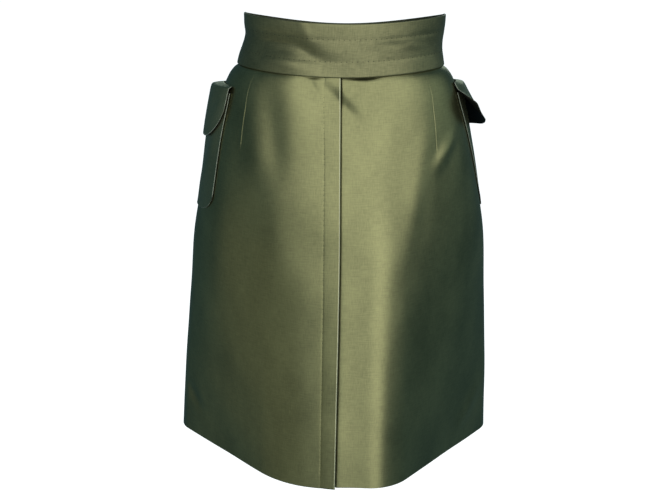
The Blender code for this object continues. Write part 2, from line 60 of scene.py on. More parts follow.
# At each depth under the band: its sizes, and how far its outline has gone from the waist's to the hem's.
Section = namedtuple("Section", "below half_width front_depth back_depth side_back shift squared")
SKIRT_SECTIONS = (
    Section(HIDDEN_TOP, 0.1232, 0.0845, 0.0770, 0.000, 0.0000, 0.00),
    Section(0.000, 0.1253, 0.0858, 0.0780, 0.000, 0.0000, 0.00),
    Section(0.003, 0.1300, 0.0870, 0.0795, 0.000, 0.0000, 0.01),
    Section(0.008, 0.1348, 0.0886, 0.0815, 0.000, 0.0000, 0.02),
    Section(0.020, 0.1420, 0.0920, 0.0860, 0.000, 0.0000, 0.04),
    Section(0.050, 0.1520, 0.0995, 0.0950, 0.001, 0.0000, 0.07),
    Section(0.100, 0.1655, 0.1110, 0.1060, 0.003, 0.0000, 0.14),
    Section(0.150, 0.1768, 0.1230, 0.1110, 0.006, 0.0000, 0.22),
    Section(0.200, 0.1872, 0.1330, 0.1135, 0.009, 0.0000, 0.32),
    Section(0.300, 0.1968, 0.1515, 0.1150, 0.014, -0.0012, 0.55),
    Section(0.400, 0.2055, 0.1685, 0.1145, 0.019, -0.0030, 0.80),
    Section(0.505, 0.2124, 0.1850, 0.1130, 0.024, -0.0048, 1.00),
)
Corner = namedtuple("Corner", "across back radius")
HEM_CORNERS = (
    Corner(0.073, -0.161, 0.063),
    Corner(0.212, 0.008, 0.035),
    Corner(0.212, 0.047, 0.040),
    Corner(0.068, 0.137, 0.075),
    Corner(-0.074, 0.137, 0.080),
    Corner(-0.212, 0.043, 0.038),
    Corner(-0.212, 0.003, 0.035),
    Corner(-0.058, -0.161, 0.120),
)
HEM_SIDE_BACK = 0.024
WAIST_OVAL = (0.128, 0.088, 0.080)  # half width, depth in front and depth behind
OVAL_POINTS = 2000
ARC_POINTS = 25
WALKED_POINTS = 8000
STEPS_IN_QUARTER = 400
EDGE_LEFT = 0.06  # the part of its thickness that a rolled edge keeps
NORMAL_REACH = (0.004, 0.0008)  # how far around and down a surface's slope is measured
NEAR_A_LINE = (0.0003, 0.0007, 0.0012, 0.0020, 0.0032)  # columns close beside an edge, a seam or a dart
QUARTERS = ((0.0, 0.1, SKIRT_LENGTH), (0.167, 0.217, 0.300))  # depths, and about what a quarter measures

# Folds as soft ridges and troughs: where each runs, how wide it is and how far it stands out or in.
# The lower width is that on its lower left, where it isn't the same.
FOLD_FIELDS = "across_at_start down_at_start across_at_end down_at_end width height lower_width"
Fold = namedtuple("Fold", FOLD_FIELDS, defaults=(None,))
SOFT_FOLDS = (
    # The drag fold down over the lap, and its short branch.
    Fold(-0.245, -0.012, 0.190, 0.0710, 0.0100, -0.0046, 0.0240),
    Fold(-0.270, -0.012, -0.110, 0.0300, 0.0050, -0.0016, 0.0120),
    # On both fronts.
    Fold(-0.505, -0.020, -0.320, 0.155, 0.0145, -0.0018),
    Fold(-0.455, 0.040, -0.330, 0.300, 0.0270, 0.0026),
    Fold(0.570, 0.045, 0.290, 0.245, 0.0140, 0.0014),
    Fold(-0.570, 0.030, -0.470, 0.170, 0.0160, 0.0010),
    Fold(0.790, 0.068, 0.500, 0.126, 0.0095, 0.0024),
    Fold(0.000, 0.150, 0.000, 0.800, 0.0180, 0.0012),
    Fold(0.950, 0.415, 0.660, 0.495, 0.0120, 0.0015),
    Fold(-0.960, 0.420, -0.740, 0.470, 0.0100, -0.0012),
    # On the back.
    Fold(1.750, 0.120, 1.620, 0.420, 0.0340, -0.0026),
    Fold(-1.670, 0.180, -1.580, 0.500, 0.0360, 0.0024),
    Fold(1.120, 0.190, 1.360, 0.330, 0.0160, -0.0016),
    Fold(-1.150, 0.200, -1.330, 0.360, 0.0180, -0.0015),
)
# The stiff cloth's small waves all over: how long each is across and down, its turn, and its height.
Wave = namedtuple("Wave", "across down turn height")
WAVES = (
    Wave(0.120, 0.410, 0.4, 0.00016),
    Wave(0.071, 0.190, 2.1, 0.00006),
    Wave(-0.091, 0.120, 4.4, 0.00006),
    Wave(0.160, -0.090, 1.3, 0.00009),
)
WAVES_FADE = 0.4  # quarters before the centre back
Dart = namedtuple("Dart", "at_waist at_tip tip side lip")
DARTS = {
    "left front": Dart(0.612, 0.566, 0.098, 1.0, 0.00008),
    "right front": Dart(-0.621, -0.588, 0.097, -1.0, 0.00036),
    "left back": Dart(1.500, 1.520, 0.125, 1.0, 0.00008),
    "right back": Dart(-1.500, -1.520, 0.125, -1.0, 0.00008),
}
DART_GROOVE = (0.00022, 0.0006)  # depth and width
DART_LIP = (0.0012, 0.0008)  # how far its stitched lip lies beside the groove, and its width
DART_DEEPENS = 0.05  # from the waist, where it has only a part of its depth
DART_PART_AT_WAIST = 0.25
DART_RUNS_OUT = 0.01
DART_HOLLOW = (0.0003, 0.010, 0.020)  # how far the cloth sinks at its tip, how wide and how long
# Where the skirt puckers in under the band's lower edge: place, half its length, and how deep.
PUCKERS = ((-0.190, 0.060, 0.0015), (0.175, 0.085, 0.0019), (1.620, 0.090, 0.0020))
PUCKER_DOWN = 0.0023


def eased(part):
    """A rise from 0 to 1 that starts and ends softly."""
    return part * part * (3.0 - 2.0 * part)


def fading(distance, width):
    """1 on a line, and softly down to 0 beside it."""
    return np.exp(-((distance / width) ** 2))


def unit(vectors):
    """The same directions, each of length 1."""
    return vectors / np.linalg.norm(vectors, axis=-1, keepdims=True)


def read_table(rows, places):
    """Every column of a table at any places in its first one, on smooth curves between its rows."""
    table = np.array(rows)
    at = table[:, 0]
    row = np.clip(np.searchsorted(at, places) - 1, 0, len(at) - 2)
    span = at[row + 1] - at[row]
    part = np.clip((places - at[row]) / span, 0.0, 1.0)
    rise = eased(part)
    columns = []
    for values in table.T:
        slopes = np.gradient(values, at)
        leave = slopes[row] * part * (1.0 - part) ** 2
        arrive = slopes[row + 1] * part * part * (part - 1.0)
        columns.append(values[row] * (1.0 - rise) + values[row + 1] * rise + span * (leave + arrive))
    return type(rows[0])(*columns)


def rounded_outline(corners):
    """The points of a closed outline whose corners are arcs."""
    points = []
    places = [np.array((corner.across, corner.back)) for corner in corners]
    for index, corner in enumerate(corners):
        here = places[index]
        arriving = here - places[index - 1]
        leaving = places[(index + 1) % len(corners)] - here
        arriving /= np.linalg.norm(arriving)
        leaving /= np.linalg.norm(leaving)
        crossing = arriving[0] * leaving[1] - arriving[1] * leaving[0]
        turn = math.atan2(crossing, float(arriving @ leaving))
        start = here - arriving * corner.radius * math.tan(turn / 2.0)
        centre = start + corner.radius * np.array((-arriving[1], arriving[0]))
        spoke = start - centre
        for angle in np.linspace(0.0, turn, ARC_POINTS):
            across = math.cos(angle) * spoke[0] - math.sin(angle) * spoke[1]
            back = math.sin(angle) * spoke[0] + math.cos(angle) * spoke[1]
            points.append(centre + np.array((across, back)))
    return np.array(points)


def in_quarters(outline, side_back):
    """Walk a closed outline in even steps of each quarter, as parts of its half width and depths."""
    closed = np.vstack((outline, outline[:1]))
    lengths = np.linalg.norm(np.diff(closed, axis=0), axis=1)
    run = np.concatenate(([0.0], np.cumsum(lengths)))
    even = np.linspace(0.0, run[-1], WALKED_POINTS + 1)[:-1]
    fine = np.stack([np.interp(even, run, closed[:, axis]) for axis in (0, 1)], axis=1)
    half_width = fine[:, 0].max()
    front = fine[:, 1].min()
    back = fine[:, 1].max()
    stations = ((0.0, front), (half_width, side_back), (0.0, back), (-half_width, side_back))
    picks = [int(np.argmin(np.linalg.norm(fine - np.array(place), axis=1))) for place in stations]
    walked = []
    for start, end in zip(picks, picks[1:] + picks[:1]):
        count = (end - start) % len(fine)
        part = np.take(fine, np.arange(start, start + count + 1), axis=0, mode="wrap")
        steps = np.linspace(0.0, count, STEPS_IN_QUARTER + 1)[:-1]
        at = np.arange(count + 1)
        walked.append(np.stack([np.interp(steps, at, part[:, axis]) for axis in (0, 1)], axis=1))
    walked = np.vstack(walked)
    walked[:, 0] /= half_width
    from_side = walked[:, 1] - side_back
    walked[:, 1] = from_side / np.where(from_side < 0.0, side_back - front, back - side_back)
    return np.vstack((walked, walked[:1]))


angles = np.linspace(0.0, 2.0 * math.pi, OVAL_POINTS, endpoint=False)
oval_depth = np.where(np.cos(angles) > 0.0, WAIST_OVAL[1], WAIST_OVAL[2])
oval = np.stack((WAIST_OVAL[0] * np.sin(angles), -oval_depth * np.cos(angles)), axis=1)
WAIST_OUTLINE = in_quarters(oval, 0.0)
HEM_OUTLINE = in_quarters(rounded_outline(HEM_CORNERS), HEM_SIDE_BACK)


def walk(outline, around):
    """The place on an outline, as parts of its half width and of its depth."""
    at = np.linspace(0.0, 4.0, 4 * STEPS_IN_QUARTER + 1)
    turned = np.mod(around, 4.0)
    return np.interp(turned, at, outline[:, 0]), np.interp(turned, at, outline[:, 1])


def waist_dip(around):
    """How far the waist lies below its sides: most at the centre back."""
    toward_front = np.cos(np.asarray(around) * math.pi / 2.0)
    behind = np.maximum(-toward_front, 0.0)
    back_dip = BACK_FALLS_EARLY * behind + (1.0 - BACK_FALLS_EARLY) * behind**2
    return DIP_CENTRE_FRONT * np.maximum(toward_front, 0.0) ** 2 + DIP_CENTRE_BACK * back_dip


def skirt_surface(around, below):
    """The smooth outside of the skirt."""
    waist_x, waist_y = walk(WAIST_OUTLINE, around)
    hem_x, hem_y = walk(HEM_OUTLINE, around)
    size = read_table(SKIRT_SECTIONS, below)
    part_x = waist_x + (hem_x - waist_x) * size.squared
    part_y = waist_y + (hem_y - waist_y) * size.squared
    x = part_x * size.half_width + size.shift
    y = part_y * np.where(part_y < 0.0, size.front_depth, size.back_depth) + size.side_back
    z = -below - waist_dip(around) * (1.0 - below / SKIRT_LENGTH)
    return np.stack((x, y, z), axis=-1)


def outward(surface, around, along, down_sign):
    """The direction straight out of a surface."""
    turn, step = NORMAL_REACH
    across = surface(around + turn, along) - surface(around - turn, along)
    down = surface(around, along + step) - surface(around, along - step)
    return unit(np.cross(down * down_sign, across))


def signed(around):
    """A place in quarters as -2 to 2, which is less than nothing on the right as worn."""
    return np.mod(around + 2.0, 4.0) - 2.0


def quarter(below):
    """About how many metres one quarter measures at a depth."""
    return np.interp(below, *QUARTERS)


def fold_height(folds, across, down, metres_across, metres_down=1.0, ends=2):
    """How far soft folds push the cloth out, or draw it in.

    across and down are in metres; the last three turn a fold's own places into metres, and say how
    softly it ends.
    """
    height = np.zeros(np.shape(across))
    for fold in folds:
        start_x = fold.across_at_start * metres_across(fold.down_at_start)
        start_y = fold.down_at_start * metres_down
        run_x = fold.across_at_end * metres_across(fold.down_at_end) - start_x
        run_y = fold.down_at_end * metres_down - start_y
        x = across - start_x
        y = down - start_y
        along = np.clip((x * run_x + y * run_y) / (run_x**2 + run_y**2), 0.0, 1.0)
        away = np.hypot(x - along * run_x, y - along * run_y)
        width = np.where(run_x * y > run_y * x, fold.lower_width or fold.width, fold.width)
        height = height + fold.height * fading(away, width) * np.sin(math.pi * along) ** ends
    return height


def dart_place(dart, below):
    """Where a dart's line lies, and the line of points that carries on below it."""
    return np.interp(below, (0.0, dart.tip, SKIRT_LENGTH), (dart.at_waist, dart.at_tip, dart.at_waist))


def skirt_height(around, below):
    """All that stands out of, or sinks into, the smooth outside of the skirt."""
    place = signed(around)
    across = place * quarter(below)
    height = fold_height(SOFT_FOLDS, across, below, quarter)
    # The waves die out toward the centre back, where their two ends meet.
    wavy = eased(np.clip((2.0 - np.abs(place)) / WAVES_FADE, 0.0, 1.0))
    for wave in WAVES:
        turn = 2.0 * math.pi * (across / wave.across + below / wave.down) + wave.turn
        height = height + wave.height * np.sin(turn) * wavy
    for dart in DARTS.values():
        beside = (place - dart_place(dart, below)) * quarter(below) * dart.side
        fade = np.clip((dart.tip - below) / DART_RUNS_OUT, 0.0, 1.0)
        fade = fade * np.clip(below / DART_DEEPENS, DART_PART_AT_WAIST, 1.0)
        height = height - DART_GROOVE[0] * fading(beside, DART_GROOVE[1]) * fade
        height = height + dart.lip * fading(beside - DART_LIP[0], DART_LIP[1]) * fade
        sunk = fading(beside, DART_HOLLOW[1]) * fading(below - dart.tip, DART_HOLLOW[2])
        height = height - DART_HOLLOW[0] * sunk
    for at, length, depth in PUCKERS:
        height = height - depth * fading(place - at, length) * fading(below, PUCKER_DOWN)
    return height


def skirt_sheet(around, below, out):
    """Points of a sheet that lies a little out of the skirt's surface, or inside it."""
    normal = outward(skirt_surface, around, below, 1.0)
    height = skirt_height(around, below) + out
    return skirt_surface(around, below) + normal * height[..., None]


def columns_at(anchors, steps, below):
    """Columns between named lines, with a few more close beside each line."""
    scale = quarter(below)
    columns = [anchors[0]]
    for start, end, count in zip(anchors, anchors[1:], steps):
        columns += [start + metres / scale for metres in NEAR_A_LINE]
        inner_start = start + NEAR_A_LINE[-1] / scale
        inner_end = end - NEAR_A_LINE[-1] / scale
        columns += [inner_start + (inner_end - inner_start) * n / count for n in range(1, count)]
        columns += [end - metres / scale for metres in NEAR_A_LINE[::-1]]
        columns.append(end)
    return np.stack(columns, axis=1)


def rolled(distance, half):
    """Half the cloth's thickness, which rolls in toward an edge at a distance."""
    inside = np.clip(1.0 - distance / half, 0.0, 1.0)
    return half * (EDGE_LEFT + (1.0 - EDGE_LEFT) * np.sqrt(1.0 - inside**2))


def sheet_normals(sheet):
    """The direction out of a sheet of points at each of them."""
    return unit(np.cross(np.gradient(sheet, axis=0), np.gradient(sheet, axis=1)))


def colour_of(hex_colour):
    """Turn an sRGB hex colour into Blender's linear one."""
    channels = [int(hex_colour[place : place + 2], 16) / 255.0 for place in (1, 3, 5)]
    linear = [c / 12.92 if c <= 0.04045 else ((c + 0.055) / 1.055) ** 2.4 for c in channels]
    return (*linear, 1.0)


def add_node(tree, kind, settings=None, links=None):
    """Add one node, with its settings and the sockets that feed it."""
    node = tree.nodes.new(kind)
    for name, value in (settings or {}).items():
        if isinstance(name, str) and hasattr(node, name):
            setattr(node, name, value)
        else:
            node.inputs[name].default_value = value
    for name, socket in (links or {}).items():
        tree.links.new(socket, node.inputs[name])
    return node


# Duchesse satin: warp threads of some 0.05 mm that float over many wefts, so the face is smooth and
# gleams like dull metal, and turns almost black where it doesn't mirror a light. Its threads are too
# fine to show, so the floats are drawn some 1.4 mm wide and 9 mm long, and the wefts' slubs, which cross
# them, 1.3 mm thick and 12 mm long. In clouds of 45 by 90 mm it is a little brighter or duller.
Pattern = namedtuple("Pattern", "across down detail roughness")
FLOATS = Pattern(0.0014, 0.009, 2.0, 0.6)
SLUBS = Pattern(0.012, 0.0013, 2.0, 0.5)
CLOUDS = Pattern(0.045, 0.090, 3.0, 0.5)
THREADS_AGAINST_CLOUDS = 0.6
CLOUDS_DULL = 0.03


def woven_cloth(name, light_hex, dark_hex, roughness, metallic, weave_height):
    """Cloth with warp threads down the piece, from the thread places that each piece holds."""
    material = bpy.data.materials.new(name)
    material.use_nodes = True
    tree = material.node_tree
    shader = tree.nodes["Principled BSDF"]
    thread = add_node(tree, "ShaderNodeAttribute", {"attribute_name": "thread"})
    marks = []
    for pattern in (FLOATS, SLUBS, CLOUDS):
        scale = (1.0 / pattern.across, 1.0 / pattern.down, 1.0)
        place = add_node(tree, "ShaderNodeMapping", {"Scale": scale}, {"Vector": thread.outputs["Vector"]})
        look = {"Scale": 1.0, "Detail": pattern.detail, "Roughness": pattern.roughness}
        noise = add_node(tree, "ShaderNodeTexNoise", look, {"Vector": place.outputs["Vector"]})
        marks.append(noise.outputs["Fac"])
    floats, slubs, clouds = marks
    crossed = add_node(tree, "ShaderNodeMath", {"operation": "ADD"}, {0: floats, 1: slubs})
    blend = {"operation": "MULTIPLY_ADD", 1: THREADS_AGAINST_CLOUDS}
    both = add_node(tree, "ShaderNodeMath", blend, {0: crossed.outputs["Value"], 2: clouds})
    bright = {"From Min": 0.85, "From Max": 1.35}
    spread = add_node(tree, "ShaderNodeMapRange", bright, {"Value": both.outputs["Value"]})
    hues = {"data_type": "RGBA", 6: colour_of(dark_hex), 7: colour_of(light_hex)}
    colour = add_node(tree, "ShaderNodeMix", hues, {0: spread.outputs["Result"]})
    tree.links.new(colour.outputs[2], shader.inputs["Base Color"])
    sheen = {"From Min": 0.3, "From Max": 0.7}
    sheen.update({"To Min": roughness - CLOUDS_DULL, "To Max": roughness + CLOUDS_DULL})
    dull = add_node(tree, "ShaderNodeMapRange", sheen, {"Value": clouds})
    tree.links.new(dull.outputs["Result"], shader.inputs["Roughness"])
    relief = {"Strength": 1.0, "Distance": weave_height}
    bump = add_node(tree, "ShaderNodeBump", relief, {"Height": crossed.outputs["Value"]})
    tree.links.new(bump.outputs["Normal"], shader.inputs["Normal"])
    shader.inputs["Metallic"].default_value = metallic
    return material


SATIN_FACE = woven_cloth("duchesse_satin_face", "#A6A578", "#8C8C66", 0.36, 0.96, 0.00005)
# Along the pressed fold of the lap the floats turn over the edge and catch the light as a thin pale line.
# This much paler colour paints that highlight, on the fold and on all the panel's rims.
LAP_FOLD_PAINTED_HIGHLIGHT = woven_cloth("duchesse_satin_lap_fold_painted_highlight", "#DADAB8", "#CCCCAC", 0.42, 0.90, 0.00002)
# The reverse of the satin shows its wefts, so it is duller, greyer and darker than the face.
SATIN_REVERSE = woven_cloth("duchesse_satin_reverse", "#3E4130", "#33362A", 0.75, 0.0, 0.00004)


def add_piece(name, points, faces, materials):
    """A smooth piece of these points and faces, which rides on the root."""
    mesh = bpy.data.meshes.new(name)
    mesh.from_pydata(points, [], faces)
    mesh.shade_smooth()
    for material in materials:
        mesh.materials.append(material)
    piece = bpy.data.objects.new(name, mesh)
    bpy.context.scene.collection.objects.link(piece)
    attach(piece, "root")
    return piece


def cloth_piece(name, middle, half, threads, face, reverse, edge_highlight=None):
    """A closed wall of cloth, half a thickness to each side of a sheet of points.

    The last argument holds the pale material painted on its turned edges as a highlight, and how many
    cells of each border show it: at the top, the foot, the start and the end.
    """
    rows, columns = middle.shape[:2]
    count = rows * columns
    normal = sheet_normals(middle)
    outer = middle + normal * half[..., None]
    inner = middle - normal * half[..., None]
    place = np.arange(count).reshape(rows, columns)
    a, b, c, d = place[:-1, :-1], place[1:, :-1], place[1:, 1:], place[:-1, 1:]
    out_faces = np.stack((a, b, c, d), axis=-1).reshape(-1, 4)
    in_faces = out_faces[:, ::-1] + count
    border = np.concatenate((place[:-1, 0], place[-1, :-1], place[:0:-1, -1], place[0, :0:-1]))
    following = np.roll(border, -1)
    rim = np.stack((following, border, border + count, following + count), axis=1)
    points = np.vstack((outer.reshape(-1, 3), inner.reshape(-1, 3)))
    faces = np.vstack((out_faces, in_faces, rim))
    piece = add_piece(name, points.tolist(), faces.tolist(), (face, reverse))
    mesh = piece.data
    which = np.zeros(len(faces), np.int32)
    which[len(out_faces) : 2 * len(out_faces)] = 1
    # Its border cells and all its rims wear the pale painted highlight.
    if edge_highlight:
        highlight_material, (top, foot, start, end) = edge_highlight
        mesh.materials.append(highlight_material)
        inside = np.zeros((rows - 1, columns - 1), bool)
        inside[top : rows - 1 - foot, start : columns - 1 - end] = True
        which[: len(out_faces)][~inside.ravel()] = 2
        which[2 * len(out_faces) :] = 2
    mesh.polygons.foreach_set("material_index", which)
    places = np.zeros((2 * count, 3), np.float32)
    places[:count, :2] = threads.reshape(-1, 2)
    places[count:] = places[:count]
    attribute = mesh.attributes.new("thread", "FLOAT_VECTOR", "POINT")
    attribute.data.foreach_set("vector", places.ravel())
    return piece


ROW_STEP = 0.002
HEM_ROWS = (0.0014, 0.0008, 0.0004, 0.00015, 0.0)  # up from the hem
rows = np.arange(HIDDEN_TOP, SKIRT_LENGTH - ROW_STEP, ROW_STEP)
skirt_rows = np.concatenate((rows, SKIRT_LENGTH - np.array(HEM_ROWS)))
lap_edge = LAP_EDGE_AT_HEM * skirt_rows / SKIRT_LENGTH
seam_half = SEWN_SHUT / 2.0 / quarter(skirt_rows)


def skirt_panel(name, anchors, steps, out, thickness, edge_highlight=None):
    """One panel of the skirt between its edges, with rolled edges and sunk seams."""
    around = columns_at(anchors, steps, skirt_rows)
    below = skirt_rows[:, None] + 0.0 * around
    scale = quarter(below)
    from_start = (around - around[:, :1]) * scale
    from_end = (around[:, -1:] - around) * scale
    edge = np.minimum(np.minimum(from_start, from_end), SKIRT_LENGTH - below)
    full = thickness(from_start, from_end)
    half = rolled(edge, full / 2.0)
    seam = out(from_start, from_end, below)
    middle = skirt_sheet(around, below, seam - full / 2.0)
    threads = np.stack((around * scale, below), axis=-1)
    return cloth_piece(name, middle, half, threads, SATIN_FACE, SATIN_REVERSE, edge_highlight)


SEAM_DEPTH = 0.0007
SEAM_WIDTH = 0.0022


def side_seam(distance):
    """How far a seam draws the cloth in beside it."""
    return -SEAM_DEPTH * fading(distance, SEAM_WIDTH)


STITCH_STEP = 0.006
STITCHES_START = 0.020
STITCHES_END = 0.485
STITCH_REACH = 0.001
PRICKED_GROOVE = (0.00008, 0.0016)  # depth and width
PRICKED_DIMPLE = (0.00028, 0.0014)
LAP_PAD = (0.00008, 0.009, 0.007)  # the turned cloth's swelling: height, how far from the edge, and width
LAP_LIP = (0.00014, 0.0013, 0.0008)  # the same of the fold's own lip
LAP_LIFTS = ((0.16, 0.34), (0.0008, 0.0026))  # depths, and how far the edge stands off there
LAP_STEP = 0.0004


def right_front_out(from_start, from_end, below):
    """Sunk at the side seam and where it is pricked, and lifted at the lap's edge."""
    beside = from_end - LAP_TURNED
    groove = -PRICKED_GROOVE[0] * fading(beside, PRICKED_GROOVE[1])
    within = (below > STITCHES_START - STITCH_REACH) & (below < STITCHES_END + STITCH_REACH)
    at_stitch = 0.5 + 0.5 * np.cos(2.0 * math.pi * (below - HIDDEN_TOP) / STITCH_STEP)
    dimple = -PRICKED_DIMPLE[0] * at_stitch**2 * fading(beside, PRICKED_DIMPLE[1]) * within
    pad = LAP_PAD[0] * fading(from_end - LAP_PAD[1], LAP_PAD[2])
    lip = LAP_LIP[0] * fading(from_end - LAP_LIP[1], LAP_LIP[2])
    lifted = np.interp(below, *LAP_LIFTS) * np.clip(1.0 - from_end / LAP_TURNED, 0.0, 1.0)
    return side_seam(from_start) + groove + dimple + pad + lip + lifted


def right_front_thickness(from_start, from_end):
    """Double where the lap's edge is turned back."""
    turned = 1.0 / (1.0 + np.exp((from_end - LAP_TURNED) / LAP_STEP))
    return CLOTH + (TURNED_CLOTH - CLOTH) * turned


right_front = skirt_panel(
    "front_right_panel_satin",
    [
        -1.0 + seam_half,
        dart_place(DARTS["right front"], skirt_rows),
        (lap_edge - LAP_TURNED) / quarter(skirt_rows),
        lap_edge / quarter(skirt_rows),
    ],
    [34, 46, 4],
    right_front_out,
    right_front_thickness,
    # The lap's fold and the panel's rims get the pale painted highlight.
    (LAP_FOLD_PAINTED_HIGHLIGHT, (0, 0, 0, 3)),
)
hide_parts("front_right_panel")

# Olive polyester thread, matt and darker than the satin, so each stitch is a small dull dot. Its twist of
# some 0.2 mm is drawn as a mottle of 0.4 mm.
TWIST = 0.0004
THREAD = bpy.data.materials.new("polyester_thread_matt")
THREAD.use_nodes = True
thread_tree = THREAD.node_tree
thread_shader = thread_tree.nodes["Principled BSDF"]
thread_place = add_node(thread_tree, "ShaderNodeTexCoord")
twist = add_node(
    thread_tree, "ShaderNodeTexNoise", {"Scale": 1.0 / TWIST}, {"Vector": thread_place.outputs["Object"]}
)
thread_hues = {"data_type": "RGBA", 6: colour_of("#3A3E28"), 7: colour_of("#4E5236")}
thread_colour = add_node(thread_tree, "ShaderNodeMix", thread_hues, {0: twist.outputs["Fac"]})
thread_tree.links.new(thread_colour.outputs[2], thread_shader.inputs["Base Color"])
thread_shader.inputs["Roughness"].default_value = 0.6

# A stitch's length, half its thickness, which is drawn coarser than a real one's, how thin its ends are,
# how far its middle stands out and its ends dip in, and how flat it is.
STITCH_LONG = 0.0017
STITCH_THICK = 0.00042
STITCH_ENDS = 0.25
STITCH_STANDS = 0.35
STITCH_DIPS = 0.9
STITCH_FLAT = 0.7
STITCH_RINGS = 7
STITCH_SPOKES = 6


def stitches(name, points, nearby, out):
    """A row of short stitches, each a small rounded bar that dips into the cloth at its ends."""
    vertices = []
    faces = []
    for point, forward, normal in zip(points, unit(nearby - points), out):
        beside = np.cross(normal, forward)
        base = len(vertices)
        for ring in np.linspace(-1.0, 1.0, STITCH_RINGS):
            thick = STITCH_THICK * (STITCH_ENDS + (1.0 - STITCH_ENDS) * math.sqrt(max(1.0 - ring**2, 0.0)))
            stands = STITCH_THICK * (STITCH_STANDS - STITCH_DIPS * ring**2)
            centre = point + forward * ring * STITCH_LONG / 2.0 + normal * stands
            for spoke in np.linspace(0.0, 2.0 * math.pi, STITCH_SPOKES, endpoint=False):
                away = beside * math.cos(spoke) + normal * math.sin(spoke) * STITCH_FLAT
                vertices.append(centre + thick * away)
        for ring in range(STITCH_RINGS - 1):
            for spoke in range(STITCH_SPOKES):
                first = base + ring * STITCH_SPOKES + spoke
                second = base + ring * STITCH_SPOKES + (spoke + 1) % STITCH_SPOKES
                faces.append((first, second, second + STITCH_SPOKES, first + STITCH_SPOKES))
        last = base + (STITCH_RINGS - 1) * STITCH_SPOKES
        faces.append(tuple(base + spoke for spoke in reversed(range(STITCH_SPOKES))))
        faces.append(tuple(last + spoke for spoke in range(STITCH_SPOKES)))
    piece = add_piece(name, [tuple(v) for v in vertices], faces, (THREAD,))
    return piece


LAP_STITCHES = range(5, 82)  # their numbers, counted down from the hidden top edge
LAP_STITCH_SUNK = 0.00055
LAP_STITCH_AHEAD = 0.001  # a place that gives a stitch its direction
stitch_below = HIDDEN_TOP + STITCH_STEP * np.array(LAP_STITCHES)
stitch_around = (LAP_EDGE_AT_HEM * stitch_below / SKIRT_LENGTH - LAP_TURNED) / quarter(stitch_below)
stitch_points = skirt_sheet(stitch_around, stitch_below, -LAP_STITCH_SUNK)
stitch_next = skirt_sheet(stitch_around, stitch_below + LAP_STITCH_AHEAD, -LAP_STITCH_SUNK)
stitch_out = outward(skirt_surface, stitch_around, stitch_below, 1.0)
lap_stitches = stitches("stitches_lap", stitch_points, stitch_next, stitch_out)

# ------------------------ left front
# The left front, of the same satin, with one dart. Its straight edge lies under the lap for 30 mm, and
# the cloth comes up level again beside it.
UNDERLAP = 0.030
UNDERLAP_RISE = 0.062
LAP_SHADE_WIDTH = 0.0015  # of the groove beside the lap
LAP_SHADE_DEPTH = 0.0010


def left_front_out(from_start, from_end, below):
    """Down under the lap, up level again beside it, and sunk at the side seam."""
    rise = eased(np.clip((from_start - UNDERLAP) / UNDERLAP_RISE, 0.0, 1.0))
    groove = -LAP_SHADE_DEPTH * fading(from_start - UNDERLAP, LAP_SHADE_WIDTH)
    return side_seam(from_end) + groove - (TURNED_CLOTH + SEAM_GAP) * (1.0 - rise)


def single_cloth(from_start, from_end):
    """One layer all over."""
    return np.full(from_start.shape, CLOTH)


left_front = skirt_panel(
    "front_left_panel_satin",
    [
        (lap_edge - UNDERLAP) / quarter(skirt_rows),
        lap_edge / quarter(skirt_rows),
        dart_place(DARTS["left front"], skirt_rows),
        1.0 - seam_half,
    ],
    [6, 50, 34],
    left_front_out,
    single_cloth,
)
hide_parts("front_left_panel")

# ------------------------ back
# The back, in one piece of the same satin from side seam to side seam. Two long darts shape it at the
# waist, and it is sewn up into the band like the fronts.


def back_out(from_start, from_end, below):
    """Sunk at both side seams."""
    return side_seam(from_start) + side_seam(from_end)


back = skirt_panel(
    "back_panel_satin",
    [
        1.0 + seam_half,
        dart_place(DARTS["left back"], skirt_rows),
        4.0 + dart_place(DARTS["right back"], skirt_rows),
        3.0 - seam_half,
    ],
    [28, 52, 28],
    back_out,
    single_cloth,
)
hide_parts("back_panel")

# ------------------------ waistband
# A straight band 61 mm high, of satin folded double over a stiffener, in two halves sewn together at the
# sides and pricked in two rows. Its top edge is the fold. Wear has softened it: a crease runs into it, with
# a swelling under it, and its lower edge stands off the skirt at two places and is drawn in at one.
BAND_HEIGHT = 0.061
BAND_CLOTH = 0.0024
BandRing = namedtuple("BandRing", "up half_width front_depth back_depth shift")
BAND_RINGS = (
    BandRing(0.000, 0.1286, 0.0890, 0.0812, 0.0000),
    BandRing(0.010, 0.1267, 0.0878, 0.0798, 0.0002),
    BandRing(0.020, 0.1248, 0.0868, 0.0786, 0.0006),
    BandRing(0.030, 0.1236, 0.0862, 0.0778, 0.0018),
    BandRing(0.040, 0.1231, 0.0858, 0.0774, 0.0036),
    BandRing(0.050, 0.1233, 0.0856, 0.0772, 0.0044),
    BandRing(0.061, 0.1235, 0.0854, 0.0770, 0.0046),
)
# The main crease: where it lies, and how deep it is there beside its deepest part.
CreasePoint = namedtuple("CreasePoint", "around up strength")
MAIN_CREASE = (
    CreasePoint(-1.150, 0.0330, 0.0),
    CreasePoint(-0.900, 0.0325, 0.85),
    CreasePoint(-0.700, 0.0330, 1.15),
    CreasePoint(-0.474, 0.0335, 1.20),
    CreasePoint(-0.330, 0.0320, 1.10),
    CreasePoint(-0.256, 0.0270, 1.0),
    CreasePoint(-0.180, 0.0215, 0.75),
    CreasePoint(-0.082, 0.0180, 0.40),
    CreasePoint(0.050, 0.0165, 0.0),
)
MAIN_CREASE_WIDTHS = (0.0095, 0.0165)  # above its line, and below it
MAIN_CREASE_DEPTH = 0.0050
